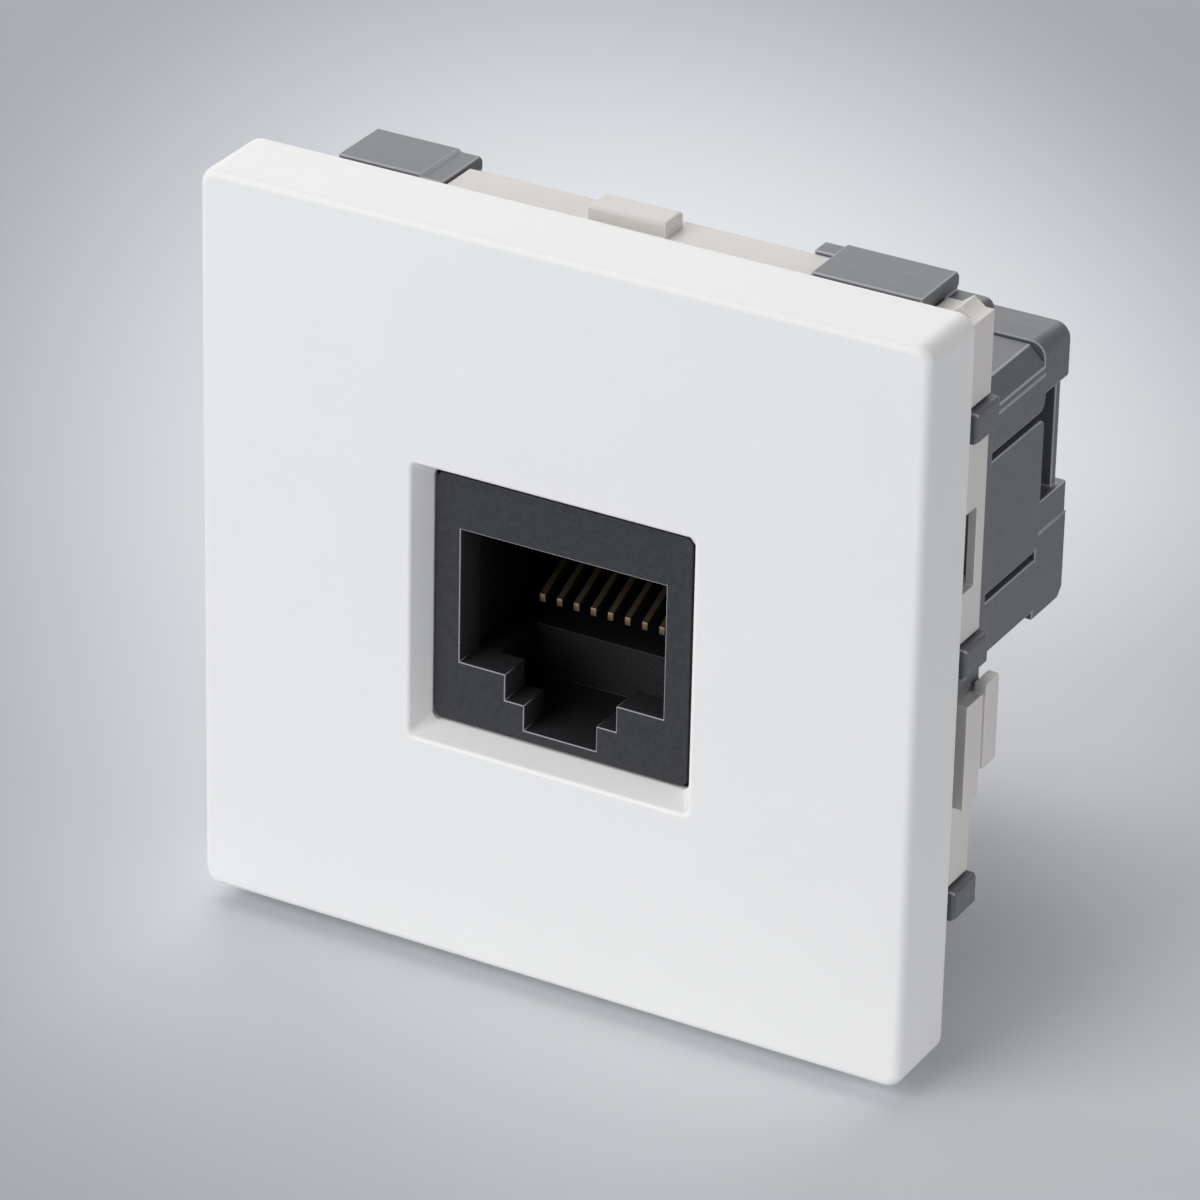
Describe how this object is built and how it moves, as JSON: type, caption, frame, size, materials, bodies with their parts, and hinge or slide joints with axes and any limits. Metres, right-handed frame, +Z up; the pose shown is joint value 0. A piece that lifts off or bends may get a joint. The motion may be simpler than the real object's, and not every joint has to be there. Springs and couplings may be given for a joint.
{
  "type": "ethernet wall socket",
  "caption": "Square flush wall outlet with a modular data jack: white cover plate, clip-in carrier frame, grey rear housing and a pull-off wire cap.",
  "frame": {"origin": "centre of the plane in which the cover plate's rear rim seats on the wall support", "axes": "+Z up the wall, -Y out of the wall towards the room, +X to the right seen from the room"},
  "size_m": [0.042, 0.034, 0.042],
  "materials": {
    "white_cover": "satin moulded",
    "white_frame": "satin moulded",
    "grey_housing": "matt moulded",
    "black_jack": "fine matt moulded",
    "gilt": "gilt spring wire",
    "board": "lacquered board",
    "terminal_white": "moulded",
    "tinned": "tinned"
  },
  "bodies": {
    "socket": {"cover_plate": "white_cover", "carrier_frame": "white_frame", "rear_housing": "grey_housing", "jack_shell": "black_jack", "contact_comb": "black_jack", "circuit_board": "board", "terminal_block": "terminal_white", "contact_1": "gilt", "contact_2": "gilt", "contact_3": "gilt", "contact_4": "gilt", "contact_5": "gilt", "contact_6": "gilt", "contact_7": "gilt", "contact_8": "gilt", "terminal_blade_1": "tinned", "terminal_blade_2": "tinned", "terminal_blade_3": "tinned", "terminal_blade_4": "tinned", "terminal_blade_5": "tinned", "terminal_blade_6": "tinned", "terminal_blade_7": "tinned", "terminal_blade_8": "tinned"},
    "wire_cap": {"wire_cap": "grey_housing"}
  },
  "joints": [
    {"name": "wire_cap_pull", "type": "slide", "parent": "socket", "child": "wire_cap", "axis": [0, 1, 0], "range_m": [0, 0.012]}
  ]
}
